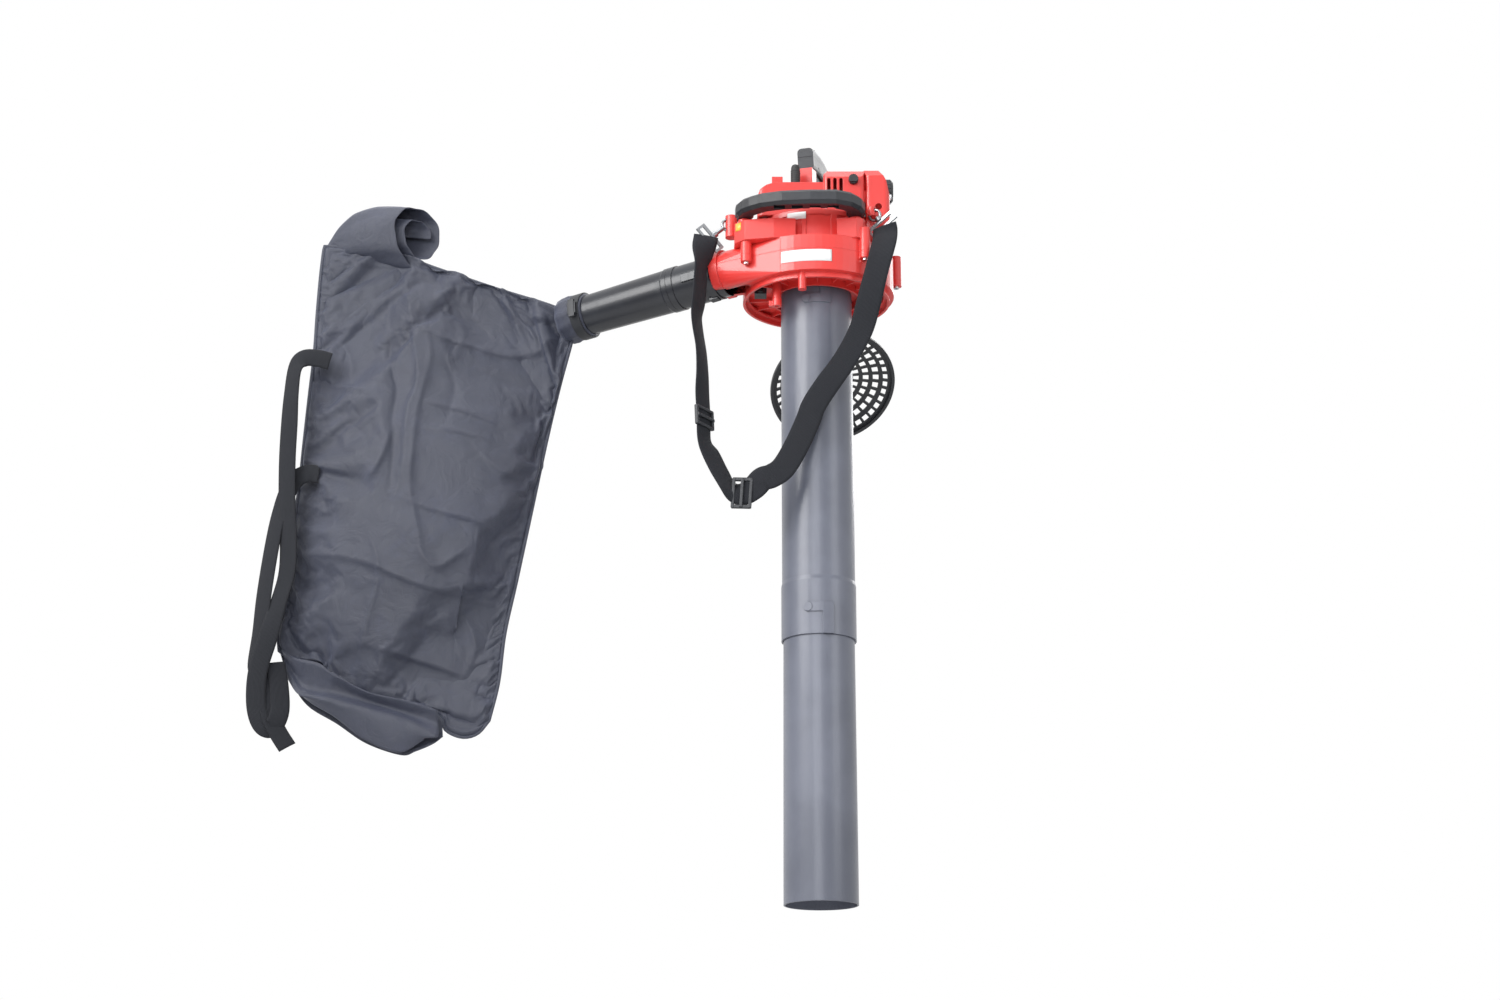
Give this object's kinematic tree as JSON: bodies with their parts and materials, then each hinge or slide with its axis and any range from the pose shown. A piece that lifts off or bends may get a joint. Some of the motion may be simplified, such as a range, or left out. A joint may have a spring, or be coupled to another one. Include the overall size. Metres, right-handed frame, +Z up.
{
  "type": "leaf blower",
  "caption": "Petrol leaf blower set up as a garden vacuum, with red engine housing, two-part suction tube, open intake guard, fabric collecting bag and shoulder strap.",
  "frame": {"origin": "middle of the top handle grip", "axes": "+Z up along the suction tube and crank axis, +X towards the fuel tank side, +Y towards the starter grip side"},
  "size_m": [0.9692, 0.4498, 1.1385],
  "materials": {
    "red_housing": "satin moulded plastic",
    "black_plastic": "fine-grained moulded plastic",
    "tube_plastic": "smooth semi-gloss",
    "soft_black": "matt",
    "foam": "open-cell foam",
    "bag_fabric": "woven",
    "webbing": "ribbed webbing",
    "rope": "braided",
    "steel": "zinc plated",
    "cast": "die cast",
    "ceramic": "glazed insulator",
    "white_plastic": "moulded"
  },
  "bodies": {
    "machine": {"lower_volute": "red_housing", "upper_volute": "red_housing", "housing_screws": "steel", "crankcase_lower": "cast", "crankcase_upper": "cast", "shaft_bearings": "steel", "shaft_seals": "soft_black", "cylinder": "cast", "spark_plug": "ceramic", "plug_boot": "soft_black", "ignition_coil": "black_plastic", "ignition_lead": "soft_black", "muffler": "steel", "insulator": "black_plastic", "carburettor": "cast", "air_filter": "foam", "filter_cover": "black_plastic", "fuel_tank": "black_plastic", "starter_housing": "black_plastic", "recoil_spring": "steel", "rope_guide": "steel", "engine_cover": "red_housing", "side_cover": "red_housing", "cover_screws": "steel", "handle_body": "black_plastic", "handle_cap": "black_plastic", "throttle_cable": "soft_black", "front_handle": "black_plastic", "front_handle_screws": "steel", "hinge_pin": "steel", "interlock_switch": "black_plastic", "discharge_adapter": "black_plastic", "discharge_tube": "black_plastic", "bag": "bag_fabric", "bag_clamp": "black_plastic", "bag_strap": "webbing", "shoulder_strap": "webbing", "snap_hook_left": "steel", "snap_hook_right": "steel", "strap_buckles": "black_plastic"},
    "upper_tube": {"upper_tube": "tube_plastic"},
    "lower_tube": {"lower_tube": "tube_plastic"},
    "guard": {"intake_guard": "black_plastic"},
    "guard_knob": {"guard_knob": "red_housing"},
    "crank": {"crankshaft": "steel", "impeller": "black_plastic", "impeller_nut": "steel", "flywheel": "cast", "starter_cup": "steel"},
    "starter_grip": {"starter_grip": "soft_black", "starter_rope": "rope"},
    "pulley": {"starter_pulley": "white_plastic"},
    "trigger": {"throttle_trigger": "black_plastic"},
    "lock_lever": {"throttle_lock": "black_plastic"},
    "stop_switch": {"stop_switch": "red_housing"},
    "choke": {"choke_knob": "black_plastic"},
    "primer": {"primer_bulb": "soft_black"},
    "fuel_cap": {"fuel_cap": "black_plastic"},
    "filter_knob": {"filter_knob": "black_plastic"},
    "piston": {"piston": "cast"}
  },
  "joints": [
    {"name": "upper_tube_twist", "type": "hinge", "parent": "machine", "child": "upper_tube", "pos_m": [-0.00269, -0.02344, -0.2355], "axis": [0, 0, 1], "range_deg": [-30, 0]},
    {"name": "lower_tube_twist", "type": "hinge", "parent": "upper_tube", "child": "lower_tube", "pos_m": [-0.00269, -0.02344, -0.7025], "axis": [0, 0, 1], "range_deg": [0, 30]},
    {"name": "guard_swing", "type": "hinge", "parent": "machine", "child": "guard", "pos_m": [0.01031, 0.09506, -0.2135], "axis": [0.9848, -0.1035, 0.1392], "range_deg": [-60, 6]},
    {"name": "guard_knob_turn", "type": "hinge", "parent": "machine", "child": "guard_knob", "pos_m": [-0.06169, -0.07544, -0.2375], "axis": [0, 0, 1], "range_deg": [0, 90]},
    {"name": "crank_spin", "type": "hinge", "parent": "machine", "child": "crank", "pos_m": [-0.00269, -0.02344, -0.1105], "axis": [0, 0, 1], "continuous": true},
    {"name": "starter_pull", "type": "slide", "parent": "machine", "child": "starter_grip", "axis": [0, 1, 0], "range_m": [0, 0.5], "stiffness_N_per_m": 30},
    {"name": "pulley_turn", "type": "hinge", "parent": "machine", "child": "pulley", "pos_m": [-0.00269, -0.02344, -0.07725], "axis": [0, 0, 1], "range_deg": [-905, 0]},
    {"name": "throttle", "type": "hinge", "parent": "machine", "child": "trigger", "pos_m": [-0.0091, -0.03172, -0.0115], "axis": [0.9613, -0.2756, 0], "range_deg": [0, 8], "stiffness_Nm_per_rad": 1.2},
    {"name": "throttle_lock_press", "type": "hinge", "parent": "machine", "child": "lock_lever", "pos_m": [-0.01378, -0.04806, 0.0095], "axis": [-0.9613, 0.2756, 0], "range_deg": [-5, 0], "stiffness_Nm_per_rad": 0.8},
    {"name": "stop_switch_slide", "type": "slide", "parent": "machine", "child": "stop_switch", "axis": [0.2756, 0.9613, 0], "range_m": [-0.003, 0.003]},
    {"name": "choke_turn", "type": "hinge", "parent": "machine", "child": "choke", "pos_m": [0.05131, -0.09944, -0.0595], "axis": [0, -1, 0], "range_deg": [0, 60]},
    {"name": "primer_press", "type": "slide", "parent": "machine", "child": "primer", "axis": [0, -1, 0], "range_m": [0, 0.003], "stiffness_N_per_m": 400},
    {"name": "fuel_cap_turn", "type": "hinge", "parent": "machine", "child": "fuel_cap", "pos_m": [0.10131, 0.00356, -0.0325], "axis": [1, 0, 0], "range_deg": [0, 120]},
    {"name": "filter_knob_turn", "type": "hinge", "parent": "machine", "child": "filter_knob", "pos_m": [0.04731, 0.10386, -0.1035], "axis": [0, 1, 0], "range_deg": [0, 180]},
    {"name": "piston_slide", "type": "slide", "parent": "machine", "child": "piston", "axis": [-1, 0, 0], "range_m": [0, 0.024]}
  ],
  "couplings": [
    {"joint": "pulley_turn", "follows": "starter_pull", "rad_per_m": -31.496}
  ]
}
